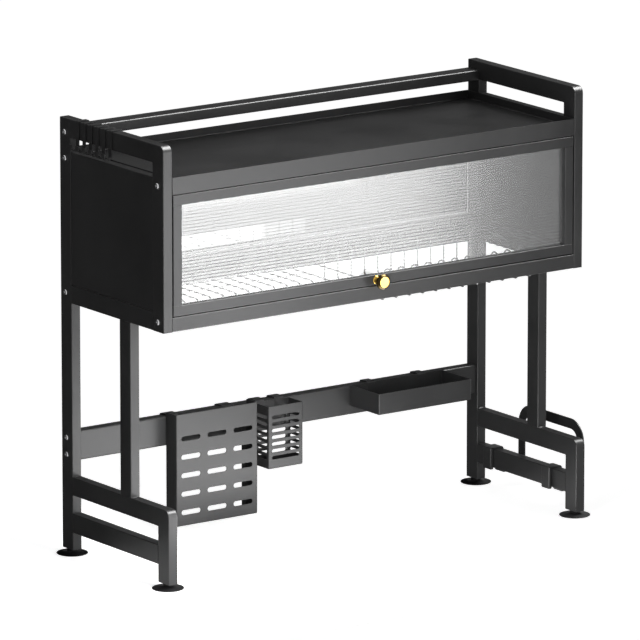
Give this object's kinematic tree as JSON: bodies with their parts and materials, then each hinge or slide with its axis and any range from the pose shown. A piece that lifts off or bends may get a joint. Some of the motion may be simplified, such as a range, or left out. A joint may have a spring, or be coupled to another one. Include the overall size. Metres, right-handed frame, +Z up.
{
  "type": "over-sink dish rack",
  "caption": "Dish rack that stands over a sink, with a glazed flap-door cabinet, wire racks, a guarded top tray and hang-on baskets",
  "frame": {"origin": "on the floor, under the middle of the whole rack's box", "axes": "+X along the rack's length, +Y from the door to the back, +Z up"},
  "size_m": [0.9186, 0.3348, 0.7393],
  "materials": {
    "black_coat": "satin powder coat",
    "dark_gloss": "high gloss",
    "bright_steel": "polished",
    "brass": "polished",
    "fluted_glazing": "clear with level flutes",
    "black_plastic": "matte"
  },
  "bodies": {
    "frame": {"left_rear_post": "black_coat", "left_top_hoop": "black_coat", "left_cabinet_rail": "black_coat", "left_mid_column": "black_coat", "left_foot_hoop": "black_coat", "left_foot_rail": "black_coat", "left_side_panel": "black_coat", "right_rear_post": "black_coat", "right_top_hoop": "black_coat", "right_cabinet_rail": "black_coat", "right_mid_column": "black_coat", "right_foot_hoop": "black_coat", "right_foot_rail": "black_coat", "right_side_panel": "black_coat", "top_tray": "black_coat", "rear_guard_rail": "black_coat", "back_panel": "dark_gloss", "rear_bottom_rail": "black_coat", "front_bottom_rail": "black_coat", "crossbar": "black_coat", "left_screw_1": "bright_steel", "left_screw_2": "bright_steel", "left_screw_3": "bright_steel", "left_screw_4": "bright_steel", "left_screw_5": "bright_steel", "left_screw_6": "bright_steel", "left_screw_7": "bright_steel", "right_screw_1": "bright_steel", "right_screw_2": "bright_steel", "right_screw_3": "bright_steel", "right_screw_4": "bright_steel", "right_screw_5": "bright_steel", "right_screw_6": "bright_steel", "right_screw_7": "bright_steel", "left_hinge_pin": "bright_steel", "right_hinge_pin": "bright_steel"},
    "door": {"door_top_member": "black_coat", "door_bottom_member": "black_coat", "door_left_stile": "black_coat", "door_right_stile": "black_coat", "door_panel": "fluted_glazing", "knob": "brass", "knob_screw": "bright_steel"},
    "plate_rack": {"plate_rack": "black_coat"},
    "bowl_rack": {"bowl_rack": "black_coat"},
    "board_rack": {"board_rack": "black_coat"},
    "utensil_cup": {"utensil_cup": "black_coat"},
    "long_tray": {"long_tray": "black_coat"},
    "board_holder": {"board_holder": "black_coat"},
    "rail_hook_1": {"rail_hook_1": "black_coat"},
    "rail_hook_2": {"rail_hook_2": "black_coat"},
    "rail_hook_3": {"rail_hook_3": "black_coat"},
    "rail_hook_4": {"rail_hook_4": "black_coat"},
    "rail_hook_5": {"rail_hook_5": "black_coat"},
    "rail_hook_6": {"rail_hook_6": "black_coat"},
    "left_rear_foot": {"left_rear_foot": "black_plastic"},
    "left_front_foot": {"left_front_foot": "black_plastic"},
    "right_rear_foot": {"right_rear_foot": "black_plastic"},
    "right_front_foot": {"right_front_foot": "black_plastic"}
  },
  "joints": [
    {"name": "door_hinge", "type": "hinge", "parent": "frame", "child": "door", "pos_m": [-0.01685, -0.1366, 0.6474], "axis": [-1, 0, 0], "range_deg": [0, 95]},
    {"name": "plate_rack_slide", "type": "slide", "parent": "frame", "child": "plate_rack", "axis": [1, 0, 0], "range_m": [-0.006, 0.016]},
    {"name": "bowl_rack_slide", "type": "slide", "parent": "frame", "child": "bowl_rack", "axis": [1, 0, 0], "range_m": [-0.02, 0.006]},
    {"name": "board_rack_slide", "type": "slide", "parent": "frame", "child": "board_rack", "axis": [1, 0, 0], "range_m": [-0.17, 0.006]},
    {"name": "utensil_cup_slide", "type": "slide", "parent": "frame", "child": "utensil_cup", "axis": [1, 0, 0], "range_m": [-0.006, 0.11]},
    {"name": "long_tray_slide", "type": "slide", "parent": "frame", "child": "long_tray", "axis": [1, 0, 0], "range_m": [-0.01, 0.066]},
    {"name": "board_holder_slide", "type": "slide", "parent": "frame", "child": "board_holder", "axis": [0, 1, 0], "range_m": [-0.035, 0.025]},
    {"name": "rail_hook_1_slide", "type": "slide", "parent": "frame", "child": "rail_hook_1", "axis": [0, 1, 0], "range_m": [-0.11, 0.0045]},
    {"name": "rail_hook_2_slide", "type": "slide", "parent": "frame", "child": "rail_hook_2", "axis": [0, 1, 0], "range_m": [-0.0045, 0.0045]},
    {"name": "rail_hook_3_slide", "type": "slide", "parent": "frame", "child": "rail_hook_3", "axis": [0, 1, 0], "range_m": [-0.0045, 0.0045]},
    {"name": "rail_hook_4_slide", "type": "slide", "parent": "frame", "child": "rail_hook_4", "axis": [0, 1, 0], "range_m": [-0.0045, 0.0045]},
    {"name": "rail_hook_5_slide", "type": "slide", "parent": "frame", "child": "rail_hook_5", "axis": [0, 1, 0], "range_m": [-0.0045, 0.0045]},
    {"name": "rail_hook_6_slide", "type": "slide", "parent": "frame", "child": "rail_hook_6", "axis": [0, 1, 0], "range_m": [-0.0045, 0.019]},
    {"name": "left_rear_foot_height", "type": "slide", "parent": "frame", "child": "left_rear_foot", "axis": [0, 0, -1], "range_m": [0, 0.01]},
    {"name": "left_front_foot_height", "type": "slide", "parent": "frame", "child": "left_front_foot", "axis": [0, 0, -1], "range_m": [0, 0.01]},
    {"name": "right_rear_foot_height", "type": "slide", "parent": "frame", "child": "right_rear_foot", "axis": [0, 0, -1], "range_m": [0, 0.01]},
    {"name": "right_front_foot_height", "type": "slide", "parent": "frame", "child": "right_front_foot", "axis": [0, 0, -1], "range_m": [0, 0.01]}
  ]
}
